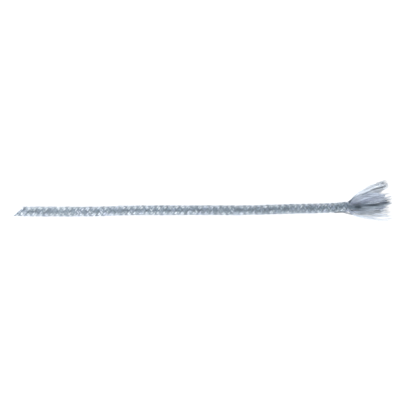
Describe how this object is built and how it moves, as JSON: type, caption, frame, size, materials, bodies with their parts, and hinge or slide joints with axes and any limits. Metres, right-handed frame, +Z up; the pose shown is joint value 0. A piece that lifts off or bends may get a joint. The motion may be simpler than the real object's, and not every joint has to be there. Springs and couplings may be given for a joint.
{
  "type": "braided cord",
  "caption": "Round braided cord of silky yarn over a soft core, cut off at a slant at one end and opened into a loose, spread tuft at the other.",
  "frame": {"origin": "centre of the bounding box's base, on the surface that the cord lies on", "axes": "+X along the cord from the cut end to the tuft, +Y across it, +Z up from the surface it lies on"},
  "size_m": [0.3166, 0.0314, 0.008],
  "materials": {
    "braid_yarn": "silky, loosely twisted filament yarn with a soft sheen",
    "core_yarn": "soft filler yarn, paler and less glossy"
  },
  "bodies": {
    "root": {"right_hand_strand_1": "braid_yarn", "left_hand_strand_1": "braid_yarn", "right_hand_strand_2": "braid_yarn", "left_hand_strand_2": "braid_yarn", "right_hand_strand_3": "braid_yarn", "left_hand_strand_3": "braid_yarn", "right_hand_strand_4": "braid_yarn", "left_hand_strand_4": "braid_yarn", "core_yarn_1": "core_yarn", "core_yarn_2": "core_yarn", "core_yarn_3": "core_yarn", "core_yarn_4": "core_yarn", "core_yarn_5": "core_yarn", "core_yarn_6": "core_yarn", "centre_yarn": "core_yarn"}
  },
  "joints": []
}
